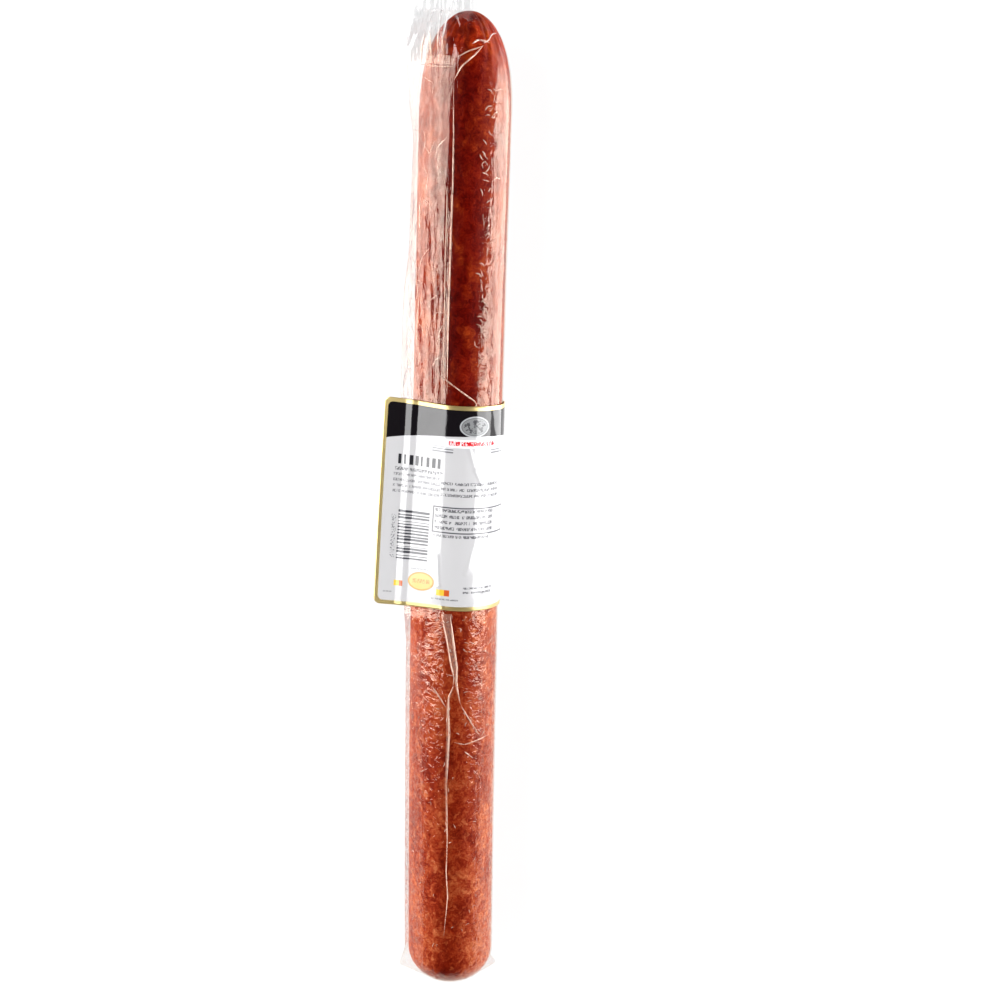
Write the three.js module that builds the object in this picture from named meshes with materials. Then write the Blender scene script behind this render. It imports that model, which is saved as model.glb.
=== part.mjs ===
// A cured sausage stick in its clear film bag, with a paper label wrapped over the bag.
//
// Millimetres, +Z up. The stick lies on its back along Y with its nose at +Y, its front side
// up and the bag's spare film at -X. Shapes are worked out from the middle of the stick, over
// the surface that it rests on, and the whole is then moved so that the origin is under the
// middle of its box. Angles round the stick run from +Z, where they are 0, towards +X.
import * as THREE from "three";

// The sausage: ground meat in its casing, one piece.
const sausageLength = 620;
const sausageDiameter = 55;
const noseLength = 75; // the nose end narrows over this length
const nosePower = 2.6; // above 2, fuller than an ellipse
const buttLength = 27; // the other end is close to half a ball
const buttPower = 2;
const sideBow = 2; // both ends bend this far towards +X
const noseLean = 4; // and the nose's tip this much further
const restFlatWidth = 10; // the flat that its own weight presses along its underside

// The film bag: a tube of clear film, closed at the butt and gathered to a flat neck at the nose.
const filmWall = 0.4;
const filmClearance = 0.3; // between the sausage and the film
const filmFoldRadius = 0.8; // inside radius where the film folds back on itself
const finReachLow = 2.6; // how far the film stands past the sausage's side, below the label
const finReachLabel = 5.5; // beside the label
const finReachHigh = 2; // above the label
const finRiseLow = 10; // height of the film's edge over the stick's axis, below the label
const finRiseLabel = 19;
const finRiseHigh = 20;
const finFade = 60; // length over which the film's edge changes from one reach to the next
const hoodLength = 22; // the slack film's widest place, back from the nose's tip
const hoodReach = 6.5;
const hoodRise = 16;
const neckLength = 18; // the flat neck stands this far past the nose's tip
const neckWidth = 16;
const neckOffset = -4; // the neck's near edge, from the middle of the stick
const neckRise = 7;
const earSetback = 11; // the corners of the bag's closed end, back from the butt
const earReachLeft = 4; // past the sausage's side
const earReachRight = 1.5;
const earLength = 14; // each corner fades into the tube over this length

// The label: one sheet, stuck round the bag's front and right, its left edge left free.
const labelHeight = 128;
const labelCorner = 4; // its corners are cut off this far from each edge
const labelThickness = 0.3;
const labelClearance = 0.3; // between the film and the label
const labelCentreY = 15.5;
const labelFlap = 40; // from where the film leaves the sausage to the label's left edge
const labelFarAngle = THREE.MathUtils.degToRad(146); // its right edge ends this far round
const labelSkew = THREE.MathUtils.degToRad(2.7); // clockwise, seen from the front

// How finely the surfaces are divided.
const sides = 40;
const ringSpacing = 32;
const buttRings = 7;
const noseRings = 12;
const neckRings = 3;
const turningWeight = 10; // millimetres of outline that one radian of bend counts for
const denseDirections = 720;
const labelColumns = 30;
const labelRows = 8;

const radius = sausageDiameter / 2;
const buttEnd = -sausageLength / 2;
const noseEnd = sausageLength / 2;
const filmOffset = filmClearance + filmWall;
const labelOffset = filmOffset + labelClearance;
const restSink = radius - Math.sqrt(radius ** 2 - (restFlatWidth / 2) ** 2);
const axisHeight = filmOffset + radius - restSink;

// The stick's sideways bend at y.
function axisX(y) {
  const lean = THREE.MathUtils.clamp((y - noseEnd + noseLength) / noseLength, 0, 1);
  return sideBow * (y / noseEnd) ** 2 + noseLean * lean ** 2;
}

// One rounded end as [distance from its tip, radius], from the tip to the full radius.
function endCurve(length, power, rings) {
  const angles = Array.from({ length: rings + 1 }, (_, k) => ((Math.PI / 2) * k) / rings);
  return angles.map((a) => [
    length * (1 - Math.cos(a)),
    radius * Math.sqrt(1 - Math.cos(a) ** power),
  ]);
}

// The sausage's half outline from the butt's tip to the nose's, as points (radius, y).
function sausageProfile() {
  const butt = endCurve(buttLength, buttPower, buttRings).map(
    ([s, r]) => new THREE.Vector2(r, buttEnd + s),
  );
  const nose = endCurve(noseLength, nosePower, noseRings).map(
    ([s, r]) => new THREE.Vector2(r, noseEnd - s),
  );
  const from = buttEnd + buttLength;
  const to = noseEnd - noseLength;
  const steps = Math.max(2, Math.round((to - from) / ringSpacing));
  const body = Array.from(
    { length: steps - 1 },
    (_, k) => new THREE.Vector2(radius, from + ((to - from) * (k + 1)) / steps),
  );
  return [...butt, ...body, ...nose.reverse()];
}

// A value at y that eases from one station to the next. Stations are [y, value], y rising.
function eased(stations, y) {
  const next = stations.findIndex(([at]) => at > y);
  if (next === 0) return stations[0][1];
  if (next < 0) return stations.at(-1)[1];
  const [[y0, a], [y1, b]] = stations.slice(next - 1, next + 1);
  return THREE.MathUtils.lerp(a, b, THREE.MathUtils.smoothstep(y, y0, y1));
}

// Where the film's left edge changes: butt, corner, tube, label, upper tube, hood and neck.
const labelLow = labelCentreY - labelHeight / 2;
const labelHigh = labelCentreY + labelHeight / 2;
const hoodY = noseEnd - hoodLength;
const neckY = noseEnd + neckLength;
const neckFarSide = radius + neckOffset - neckWidth;
const leftReach = [
  [buttEnd, -radius],
  [buttEnd + earSetback, earReachLeft],
  [buttEnd + earSetback + earLength, finReachLow],
  [labelLow - finFade / 2, finReachLow],
  [labelLow - finFade / 6, finReachLabel],
  [labelHigh + finFade, finReachLabel],
  [labelHigh + 2 * finFade, finReachHigh],
  [hoodY - hoodLength, finReachHigh],
  [hoodY, hoodReach],
  [neckY, -neckFarSide],
];
const leftRise = [
  [buttEnd, 0],
  [buttEnd + earSetback + earLength, finRiseLow],
  [labelLow - finFade / 2, finRiseLow],
  [labelLow - finFade / 6, finRiseLabel],
  [labelHigh + finFade, finRiseLabel],
  [labelHigh + 2 * finFade, finRiseHigh],
  [hoodY, hoodRise],
  [neckY, neckRise],
];
const rightReach = [
  [buttEnd, -radius],
  [buttEnd + earSetback, earReachRight],
  [buttEnd + earSetback + earLength, -radius / 2],
];

// The circles that the film is stretched round at y: the sausage's own section, r across,
// the fold along the bag's left edge and the one at its butt's right corner.
function filmCircles(y, r) {
  const past = THREE.MathUtils.clamp((y - noseEnd) / neckLength, 0, 1);
  const x = THREE.MathUtils.lerp(axisX(Math.min(y, noseEnd)), neckOffset, past);
  const left = axisX(Math.min(y, noseEnd)) - radius - eased(leftReach, y);
  const right = axisX(Math.min(y, noseEnd)) + radius + eased(rightReach, y);
  const fold = y < 0 ? Math.min(filmFoldRadius, r) : filmFoldRadius;
  return [
    { x, z: neckRise * past, r: Math.max(r, fold) },
    { x: left, z: eased(leftRise, y), r: fold },
    { x: right, z: 0, r: fold },
  ];
}

// Points and outward normals at even steps round the outline stretched over some circles,
// from its lowest point on towards -X. Tight bends get more steps than straight runs do.
function stretchedOutline(circles, count) {
  const dense = [];
  for (let k = 0; k <= denseDirections; k += 1) {
    const turn = (2 * Math.PI * k) / denseDirections;
    const normal = new THREE.Vector2(-Math.sin(turn), -Math.cos(turn));
    const reach = (c) => c.x * normal.x + c.z * normal.y + c.r;
    const c = circles.reduce((best, other) => (reach(other) > reach(best) ? other : best));
    const point = new THREE.Vector2(c.x, c.z).addScaledVector(normal, c.r);
    const last = dense.at(-1);
    const bend = turningWeight * (2 * Math.PI / denseDirections);
    const measure = last ? last.measure + last.point.distanceTo(point) + bend : 0;
    dense.push({ point, normal, measure });
  }
  const total = dense.at(-1).measure;
  return Array.from({ length: count }, (_, k) => {
    const measure = (total * k) / count;
    const i = Math.max(1, dense.findIndex((d) => d.measure > measure));
    const share = (measure - dense[i - 1].measure) / (dense[i].measure - dense[i - 1].measure);
    return {
      point: dense[i - 1].point.clone().lerp(dense[i].point, share),
      normal: dense[i - 1].normal.clone().lerp(dense[i].normal, share).normalize(),
    };
  });
}

// A closed surface from rings of points, made as a lathe's rings and then moved into place.
// Each ring is a list of `sides` points; a ring whose points are all alike closes an end.
function ringedGeometry(rings) {
  const profile = rings.map((_, j) => new THREE.Vector2(1, j));
  const geometry = new THREE.LatheGeometry(profile, sides);
  const position = geometry.getAttribute("position");
  for (let i = 0; i <= sides; i += 1) {
    rings.forEach((ring, j) => {
      const p = ring[i % sides];
      position.setXYZ(i * rings.length + j, p.x, p.y, p.z);
    });
  }
  return geometry;
}

function tip(x, y, z) {
  return Array.from({ length: sides }, () => new THREE.Vector3(x, y, z));
}

// The flat underside: nothing reaches below the rest level of its own layer.
function onFlat(x, y, z, offset) {
  return new THREE.Vector3(x, y, Math.max(axisHeight + z, filmOffset - offset));
}

function sausageGeometry() {
  const rings = sausageProfile().map((p) => {
    const circle = [{ x: axisX(p.y), z: 0, r: p.x }];
    return stretchedOutline(circle, sides).map(({ point }) => onFlat(point.x, p.y, point.y, 0));
  });
  return ringedGeometry(rings);
}

// The rings of one face of the film, at `offset` from the sausage, from the butt to the neck.
function filmRings(offset) {
  const profile = sausageProfile();
  const rings = profile.map((p, k) => {
    const along = profile[Math.min(k + 1, profile.length - 1)]
      .clone()
      .sub(profile[Math.max(k - 1, 0)])
      .normalize();
    return { y: p.y - offset * along.x, r: p.x, at: p.y };
  });
  for (let k = 1; k <= neckRings; k += 1) {
    const y = noseEnd + (neckLength * k) / neckRings;
    rings.push({ y, r: 0, at: y });
  }
  rings[0].y = buttEnd - offset;
  return rings.map(({ y, r, at }) =>
    stretchedOutline(filmCircles(at, r), sides).map(({ point, normal }) => {
      point.addScaledVector(normal, offset);
      return onFlat(point.x, y, point.y, offset);
    }),
  );
}

function filmGeometry() {
  const outer = filmRings(filmOffset);
  const inner = filmRings(filmClearance);
  const x = axisX(buttEnd);
  return ringedGeometry([
    tip(x, buttEnd - filmOffset, axisHeight),
    ...outer,
    ...inner.reverse(),
    tip(x, buttEnd - filmClearance, axisHeight),
  ]);
}

// The label is bent from a flat sheet: straight over its free flap, then round the stick.
function labelGeometry() {
  const [stick, edge] = filmCircles(labelCentreY, radius);
  const apart = Math.hypot(edge.x - stick.x, edge.z - stick.z);
  const leaves =
    Math.atan2(edge.x - stick.x, edge.z - stick.z) + Math.acos((stick.r - edge.r) / apart);
  const inside = radius + labelOffset;
  const width = labelFlap + (labelFarAngle - leaves) * inside;
  const geometry = new THREE.BoxGeometry(
    width,
    labelHeight,
    labelThickness,
    labelColumns,
    labelRows,
    1,
  );
  const position = geometry.getAttribute("position");
  for (let i = 0; i < position.count; i += 1) {
    const across = position.getX(i);
    const intoCorner = Math.max(0, Math.abs(across) - width / 2 + labelCorner);
    const along = position.getY(i) * (1 - (2 * intoCorner) / labelHeight);
    const u = across * Math.cos(labelSkew) + along * Math.sin(labelSkew);
    const v = along * Math.cos(labelSkew) - across * Math.sin(labelSkew);
    const wrapped = u + width / 2 - labelFlap;
    const angle = leaves + Math.max(0, wrapped) / inside;
    const out = inside + labelThickness / 2 + position.getZ(i);
    const straight = Math.min(0, wrapped);
    const y = labelCentreY + v;
    position.setXYZ(
      i,
      axisX(y) + out * Math.sin(angle) + straight * Math.cos(angle),
      y,
      axisHeight + out * Math.cos(angle) - straight * Math.sin(angle),
    );
  }
  return geometry;
}

function piece(name, geometry, color, roughness, transparency = 0) {
  const material = new THREE.MeshStandardMaterial({
    color,
    roughness,
    metalness: 0,
    transparent: transparency > 0,
    opacity: 1 - transparency,
  });
  const mesh = new THREE.Mesh(geometry, material);
  mesh.name = name;
  return mesh;
}

const stick = new THREE.Group();
stick.add(
  piece("sausage", sausageGeometry(), 0x8a2a14, 0.5),
  piece("film_bag", filmGeometry(), 0xf4f1ee, 0.12, 0.75),
  piece("label", labelGeometry(), 0xf2f2f4, 0.3),
);

const box = new THREE.Box3().setFromObject(stick);
stick.position.set(-(box.min.x + box.max.x) / 2, -(box.min.y + box.max.y) / 2, -box.min.z);
stick.updateMatrixWorld(true);

export default stick;
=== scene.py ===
"""A cured sausage stick in a clear film bag, with a printed label stuck round the bag.

The stick lies along Y with its nose at +Y and its front side up. "Plan" positions below are
millimetres: across from the stick's axis, and along Y in the frame. Everything else is metres.
"""

import math
import random

import bmesh
import bpy
import numpy as np
from mathutils import Matrix, Vector, noise
from mathutils.bvhtree import BVHTree


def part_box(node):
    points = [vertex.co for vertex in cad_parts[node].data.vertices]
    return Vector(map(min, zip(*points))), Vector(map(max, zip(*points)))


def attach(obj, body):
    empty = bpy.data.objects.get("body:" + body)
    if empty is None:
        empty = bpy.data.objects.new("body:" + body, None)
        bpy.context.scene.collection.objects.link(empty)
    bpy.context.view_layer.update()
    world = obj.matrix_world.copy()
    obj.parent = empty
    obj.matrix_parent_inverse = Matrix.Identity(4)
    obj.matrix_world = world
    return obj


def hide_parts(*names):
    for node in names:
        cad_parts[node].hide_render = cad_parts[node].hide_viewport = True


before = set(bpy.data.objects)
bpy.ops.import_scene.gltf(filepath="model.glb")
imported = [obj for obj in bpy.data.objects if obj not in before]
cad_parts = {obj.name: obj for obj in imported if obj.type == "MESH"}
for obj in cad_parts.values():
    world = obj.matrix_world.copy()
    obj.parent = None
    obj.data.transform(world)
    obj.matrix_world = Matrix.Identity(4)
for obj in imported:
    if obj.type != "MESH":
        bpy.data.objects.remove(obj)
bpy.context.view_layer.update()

MM = 0.001

# The stick, from its CAD node's box and its own diameter.
RADIUS = 27.5 * MM
SAUSAGE_LOW, SAUSAGE_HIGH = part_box("sausage")
AXIS_X = SAUSAGE_LOW.x + RADIUS
AXIS_Z = SAUSAGE_HIGH.z - RADIUS
BUTT_Y = SAUSAGE_LOW.y
NOSE_Y = SAUSAGE_HIGH.y
MID_Y = (BUTT_Y + NOSE_Y) / 2
HALF_LENGTH = (NOSE_Y - BUTT_Y) / 2
NOSE_LENGTH = 62 * MM
NOSE_POWER = 2.5
BUTT_LENGTH = 22 * MM
SIDE_BOW = 2 * MM
NOSE_LEAN = 0.8 * MM
NOSE_LEAN_LENGTH = 75 * MM

# The film bag.
FILM_GAP = 0.45 * MM
FOLD_RADIUS = 0.8 * MM
HOOD_LENGTH = 60 * MM
LOWEST_FILM = 0.02 * MM
NECK_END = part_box("film_bag")[1].y
NECK_LENGTH = NECK_END - NOSE_Y
NECK_WIDTH = 17 * MM
NECK_OFFSET = -4 * MM
NECK_RISE = 7 * MM

# The label: a flap that stands clear of the bag, then a wrap round the front and the right.
LABEL_LOW, LABEL_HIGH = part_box("label")
LABEL_HEIGHT = 128.0
LABEL_FLAP = 40.0
LABEL_CORNER = 4.0
LABEL_SKEW = math.radians(2.7)
LABEL_FAR_ANGLE = math.radians(146)
LABEL_Y = (LABEL_LOW.y + LABEL_HIGH.y) / 2
LABEL_INSIDE = RADIUS + 1.0 * MM
LABEL_THICKNESS = 0.25 * MM
LOWEST_LABEL = 0.4 * MM

# Where the bag's fold stands behind the label: past the stick's side, and above its axis.
FOLD_REACH = 5.5 * MM
FOLD_RISE = 19 * MM

# How many rows of faces the stick and the bag have along them, and how many go round each.
BUTT_ROWS = 24
NOSE_ROWS = 60
STICK_ROWS = 430
STICK_SIDES = 180
FILM_BODY_ROWS = 310
FILM_HOOD_ROWS = 75
FILM_COLUMNS = 225


# ---------------------------------------------------------------- shapes shared by the pieces


def clamp(value, low=0.0, high=1.0):
    """The value, kept between low and high."""
    return max(low, min(high, value))


def ease(value, start, end):
    """0 before start, 1 after end, and smooth between. start may be the larger one."""
    share = clamp((value - start) / (end - start))
    return share * share * (3 - 2 * share)


def bump(value, middle, width):
    """1 at the middle, fading smoothly to 0 a width away."""
    share = clamp(1 - abs(value - middle) / width)
    return share * share * (3 - 2 * share)


def grain(x, y, z, size, octaves=2):
    """Smooth noise between about -1 and 1 whose lumps are about that size across."""
    return noise.fractal(Vector((x, y, z)) / size, 1.0, 2.0, octaves)


def ridges(x, y, z, size):
    """1 along a net of thin lines, falling quickly to 0 between them."""
    value = noise.noise(Vector((x, y, z)) / size)
    return max(0.0, 1 - 6 * abs(value)) ** 2


def axis_x(y):
    """The stick's sideways bend at y."""
    lean = clamp((y - NOSE_Y + NOSE_LEAN_LENGTH) / NOSE_LEAN_LENGTH)
    return AXIS_X + SIDE_BOW * ((y - MID_Y) / HALF_LENGTH) ** 2 + NOSE_LEAN * lean**2


def section_radius(y):
    """The plain stick's radius at y."""
    butt = clamp(1 - (y - BUTT_Y) / BUTT_LENGTH)
    nose = clamp(1 - (NOSE_Y - y) / NOSE_LENGTH)
    return RADIUS * math.sqrt((1 - butt**2) * (1 - nose**NOSE_POWER))


def slow_swell(angle, y):
    """The stick's own unevenness, which the film over it follows."""
    x, z = math.sin(angle), math.cos(angle)
    return -0.35 * MM * clamp(0.5 + 0.5 * grain(x, y / (60 * MM), z + 7, 1.0, 1))


def new_piece(name, bm):
    """A smooth piece made from a bmesh, which rides on the one body."""
    mesh = bpy.data.meshes.new(name)
    bm.to_mesh(mesh)
    bm.free()
    piece = bpy.data.objects.new(name, mesh)
    bpy.context.collection.objects.link(piece)
    for face in mesh.polygons:
        face.use_smooth = True
    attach(piece, "root")
    return piece


def laid_grid(bm, across, along, place):
    """A grid of quads whose corners go where place(u, v) says, with u and v from 0 to 1."""
    made = bmesh.ops.create_grid(bm, x_segments=across, y_segments=along, size=0.5)
    for vert in made["verts"]:
        vert.co = place(vert.co.x + 0.5, vert.co.y + 0.5)
    return made["verts"]


# ---------------------------------------------------------------- shader values


class Shade:
    """One socket of a material's nodes, which Python's own signs work on."""

    def __init__(self, tree, socket=None):
        self.tree = tree
        self.socket = socket

    def node(self, kind, settings=None, inputs=None, output=0):
        """Makes a node: its settings first, then its sockets' values or links."""
        made = self.tree.nodes.new(kind)
        for name, value in (settings or {}).items():
            if name == "stops":
                self.set_stops(made.color_ramp, value)
            else:
                setattr(made, name, value)
        for name, value in (inputs or {}).items():
            if isinstance(value, Shade):
                self.tree.links.new(value.socket, made.inputs[name])
            else:
                made.inputs[name].default_value = value
        return Shade(self.tree, made.outputs[output])

    @staticmethod
    def set_stops(ramp, stops):
        """Gives a colour ramp its stops, each a position and a colour."""
        while len(ramp.elements) < len(stops):
            ramp.elements.new(0.5)
        for element, (position, colour) in zip(ramp.elements, stops):
            element.position = position
            element.color = (*colour, 1)

    def math(self, operation, *values):
        """One Math node on the values."""
        return self.node("ShaderNodeMath", {"operation": operation}, dict(enumerate(values)))

    def __add__(self, other):
        return self.math("ADD", self, other)

    __radd__ = __add__

    def __sub__(self, other):
        return self.math("SUBTRACT", self, other)

    def __rsub__(self, other):
        return self.math("SUBTRACT", other, self)

    def __mul__(self, other):
        return self.math("MULTIPLY", self, other)

    __rmul__ = __mul__

    def __truediv__(self, other):
        return self.math("DIVIDE", self, other)

    def __pow__(self, other):
        return self.math("POWER", self, other)

    def __abs__(self):
        return self.math("ABSOLUTE", self)

    def least(self, other):
        return self.math("MINIMUM", self, other)

    def most(self, other):
        return self.math("MAXIMUM", self, other)

    def over(self, edge):
        """1 where this is over the edge, 0 elsewhere."""
        return self.math("GREATER_THAN", self, edge)

    def ramp(self, start, end, low=0.0, high=1.0):
        """low where this is start or less, high where it is end or more, smooth between."""
        return self.node(
            "ShaderNodeMapRange",
            {"interpolation_type": "SMOOTHSTEP"},
            {"Value": self, "From Min": start, "From Max": end, "To Min": low, "To Max": high},
        )

    def blend(self, first, second):
        """The first colour where this is 0 and the second where it is 1."""
        return self.node("ShaderNodeMix", {"data_type": "RGBA"}, {0: self, 6: first, 7: second}, 2)

    def colours(self, stops):
        """A colour for each value of this, from stops of (position, colour)."""
        return self.node("ShaderNodeValToRGB", {"stops": stops}, {"Fac": self})

    def split(self):
        """This vector's three parts."""
        made = self.node("ShaderNodeSeparateXYZ", None, {0: self})
        outputs = made.socket.node.outputs
        return [Shade(self.tree, outputs[k]) for k in range(3)]

    def joined(self, x, y, z):
        return self.node("ShaderNodeCombineXYZ", None, {0: x, 1: y, 2: z})

    def noise(self, place, scale, detail=2.0, roughness=0.5, distortion=0.0):
        return self.node(
            "ShaderNodeTexNoise",
            None,
            {
                "Vector": place,
                "Scale": scale,
                "Detail": detail,
                "Roughness": roughness,
                "Distortion": distortion,
            },
        )

    def cells(self, place, scale, output="Distance"):
        """A pattern of uneven cells: the distance from each one's middle, or its colour."""
        return self.node("ShaderNodeTexVoronoi", None, {"Vector": place, "Scale": scale}, output)

    def stretched(self, place, x, y, z):
        """The place with each direction multiplied, which makes a pattern finer along it."""
        return self.node(
            "ShaderNodeVectorMath", {"operation": "MULTIPLY"}, {0: place, 1: (x, y, z)}
        )

    def shifted(self, place, by, amount):
        """The place pushed about by a colour, an amount each way."""
        push = self.node(
            "ShaderNodeVectorMath", {"operation": "SUBTRACT"}, {0: by, 1: (0.5, 0.5, 0.5)}
        )
        push = self.node("ShaderNodeVectorMath", {"operation": "SCALE"}, {0: push, 3: amount})
        return self.node("ShaderNodeVectorMath", {"operation": "ADD"}, {0: place, 1: push})

    def relief(self, height, distance, strength=1.0):
        """A normal that is bumped by the height."""
        return self.node(
            "ShaderNodeBump", None, {"Height": height, "Distance": distance, "Strength": strength}
        )


def new_material(name):
    """A material with no nodes but its output, and a Shade to start its values from."""
    material = bpy.data.materials.new(name)
    material.use_nodes = True
    material.node_tree.nodes.clear()
    start = Shade(material.node_tree)
    output = material.node_tree.nodes.new("ShaderNodeOutputMaterial")
    return material, start, output


def finish_material(material, output, surface):
    """Joins the surface to the material's output."""
    material.node_tree.links.new(surface.socket, output.inputs["Surface"])
    return material


def object_place(start):
    """The place on the piece, in metres in the shared frame."""
    return start.node("ShaderNodeTexCoord", None, None, "Object")


# ---------------------------------------------------------------- the sausage


def meat_tone_and_painted_light(start, place, bent):
    """What the meat's colour is multiplied by: darker at the nose half, with painted shade along the
    middle and painted light towards the sides; its streaks and clots are the meat's own.
    """
    x, y, _ = place.split()
    # Painted light and shade: the nose half's meat is darker along its middle and lighter towards its
    # sides, as the side lamps fall.
    side = abs(x - AXIS_X).ramp(0.009, 0.021)
    dark = side.blend((0.37, 0.080, 0.028, 1), (0.56, 0.27, 0.13, 1))
    streaks = start.noise(start.stretched(place, 1.0, 0.15, 1.0), 140, 2).ramp(0.40, 0.60)
    dark = (y.ramp(0.262, 0.290) * streaks).blend(dark, (0.85, 0.42, 0.19, 1))
    clots = start.noise(start.stretched(bent, 1.0, 0.6, 1.0), 90, 2).ramp(0.48, 0.62)
    dark = (clots * 0.45).blend(dark, (0.70, 0.50, 0.20, 1))
    # Painted shade: the butt half's meat is darker along its middle.
    middle = abs(x - AXIS_X - 0.0025).ramp(0.003, 0.0125, 1.0, 0.0)
    pale = middle.blend((1.0, 1.0, 1.0, 1), (0.72, 0.54, 0.45, 1))
    return y.ramp(-0.09, 0.10).blend(pale, dark)


def cured_meat():
    """Ground meat under its casing: lean and paprika fat, pale flecks and fine dark veins."""
    material, start, output = new_material("cured_meat")
    place = object_place(start)
    y = place.split()[1]
    drift = start.node("ShaderNodeTexNoise", None, {"Vector": place, "Scale": 170}, "Color")
    bent = start.shifted(place, drift, 0.009)
    broad = start.noise(start.stretched(place, 1.0, 0.5, 1.0), 55, 2)
    mottle = start.noise(start.stretched(bent, 1.0, 0.7, 1.0), 230, 4, 0.62, 0.6)
    fine = start.noise(bent, 700, 3, 0.65)
    tone = broad * 0.5 + mottle * 0.75 + fine * 0.6 - 0.425
    meat = tone.colours(
        [
            (0.26, (0.16, 0.011, 0.003)),
            (0.42, (0.30, 0.034, 0.010)),
            (0.55, (0.44, 0.082, 0.027)),
            (0.72, (0.62, 0.20, 0.085)),
        ]
    )
    flecks = start.cells(start.stretched(bent, 1.0, 0.75, 1.0), 380, output="Color").split()[2]
    fleck = flecks.ramp(0.86, 0.93) * mottle.ramp(0.42, 0.56) * y.ramp(0.0, -0.25, 0.35, 1.0)
    meat = (fleck * 0.45).blend(meat, (0.74, 0.28, 0.12, 1))
    vein = abs(start.noise(start.stretched(bent, 0.8, 1.0, 0.8), 260, 3, 0.6) - 0.5)
    meat = vein.ramp(0.0, 0.035, 0.5, 0.0).blend(meat, (0.20, 0.013, 0.004, 1))
    # The meat's own tone with the painted light and shade, multiplied into its colour.
    cured = meat_tone_and_painted_light(start, place, bent)
    settings = {"data_type": "RGBA", "blend_type": "MULTIPLY"}
    meat = start.node("ShaderNodeMix", settings, {0: 1.0, 6: meat, 7: cured}, 2)
    normal = start.relief(mottle + fine * 0.6, 0.0007, 0.6)
    surface = start.node(
        "ShaderNodeBsdfPrincipled",
        None,
        {
            "Base Color": meat,
            "Roughness": mottle.ramp(0.35, 0.65, 0.34, 0.52),
            "Normal": normal,
            "IOR": 1.2,
            "Coat Weight": 0.03,
            "Coat Roughness": 0.3,
        },
    )
    return finish_material(material, output, surface)


def end_pucker(angle, y):
    """Casing drawn together towards each end, in folds that run to the tip."""
    from_nose = (NOSE_Y - y) / MM
    from_butt = (y - BUTT_Y) / MM
    wander = grain(math.sin(angle), y / (50 * MM), math.cos(angle), 1.0)
    nose = ease(from_nose, 60, 12) * (0.5 + 0.5 * math.sin(17 * angle + 3 * wander))
    nose += 0.5 * ease(from_nose, 45, 8) * math.sin(29 * angle + 5 * wander)
    butt = ease(from_butt, 22, 5) * (0.5 + 0.5 * math.sin(15 * angle + 4 * wander))
    return -(0.45 * nose + 0.35 * butt) * MM


def lower_wrinkles(angle, y):
    """Shallow folds across the lower half, just right of the middle."""
    middle = bump(angle, math.radians(8), math.radians(24)) * bump(y / MM, -190, 95)
    wander = grain(angle * 2, y / (30 * MM), 3.0, 1.0)
    return -0.35 * MM * middle * (0.5 + 0.5 * math.sin(y / (1.05 * MM) + 4 * wander))


def meat_grain(x, y, z):
    """Lumps of coarse grind that show through the casing."""
    lumps = grain(x, y, z, 4.5 * MM, 2)
    return 0.16 * MM * lumps - 0.05 * MM


def end_share(share):
    """How far along an end a share of its rows comes, with the rows closest at the tip."""
    return 1 - math.cos(math.pi / 2 * share)


def sausage_outline(steps):
    """The plain stick's half outline from tip to tip, as points (radius, y)."""
    butt = [BUTT_Y + BUTT_LENGTH * end_share(k / BUTT_ROWS) for k in range(BUTT_ROWS)]
    nose = [NOSE_Y - NOSE_LENGTH * end_share(k / NOSE_ROWS) for k in range(NOSE_ROWS)]
    start, end = BUTT_Y + BUTT_LENGTH, NOSE_Y - NOSE_LENGTH
    body = [start + (end - start) * k / steps for k in range(steps + 1)]
    return [(section_radius(y), y) for y in butt + body + nose[::-1]]


def sausage():
    """The stick: its outline spun round, then puckered, wrinkled and lumped."""
    bm = bmesh.new()
    outline = sausage_outline(STICK_ROWS)
    verts = [bm.verts.new((radius, y, 0)) for radius, y in outline]
    edges = [bm.edges.new(pair) for pair in zip(verts, verts[1:])]
    bmesh.ops.spin(
        bm,
        geom=verts + edges,
        axis=(0, 1, 0),
        cent=(0, 0, 0),
        angle=2 * math.pi,
        steps=STICK_SIDES,
        use_merge=True,
    )
    bmesh.ops.remove_doubles(bm, verts=bm.verts, dist=0.01 * MM)
    bmesh.ops.recalc_face_normals(bm, faces=bm.faces)
    lowest = FILM_GAP + 0.1 * MM
    for vert in bm.verts:
        x, y, z = vert.co
        angle = math.atan2(x, z)
        radius = math.hypot(x, z)
        share = clamp(radius / (6 * MM))
        relief = slow_swell(angle, y) + end_pucker(angle, y) + lower_wrinkles(angle, y)
        radius += share * (relief + meat_grain(x, y, z))
        height = AXIS_Z + radius * math.cos(angle)
        vert.co = (axis_x(y) + radius * math.sin(angle), y, max(height, lowest))
    piece = new_piece("sausage_in_casing", bm)
    piece.data.materials.append(cured_meat())
    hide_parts("sausage")


# ---------------------------------------------------------------- the film bag


def stations(y, *points):
    """Eases from one (y in plan, value) to the next."""
    y = y / MM
    for (y0, first), (y1, second) in zip(points, points[1:]):
        if y < y1:
            return first + (second - first) * ease(y, y0, y1)
    return points[-1][1]


BUTT = BUTT_Y / MM
NOSE = NOSE_Y / MM
LABEL_BASE = LABEL_Y / MM - LABEL_HEIGHT / 2
LABEL_TOP = LABEL_Y / MM + LABEL_HEIGHT / 2


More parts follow.
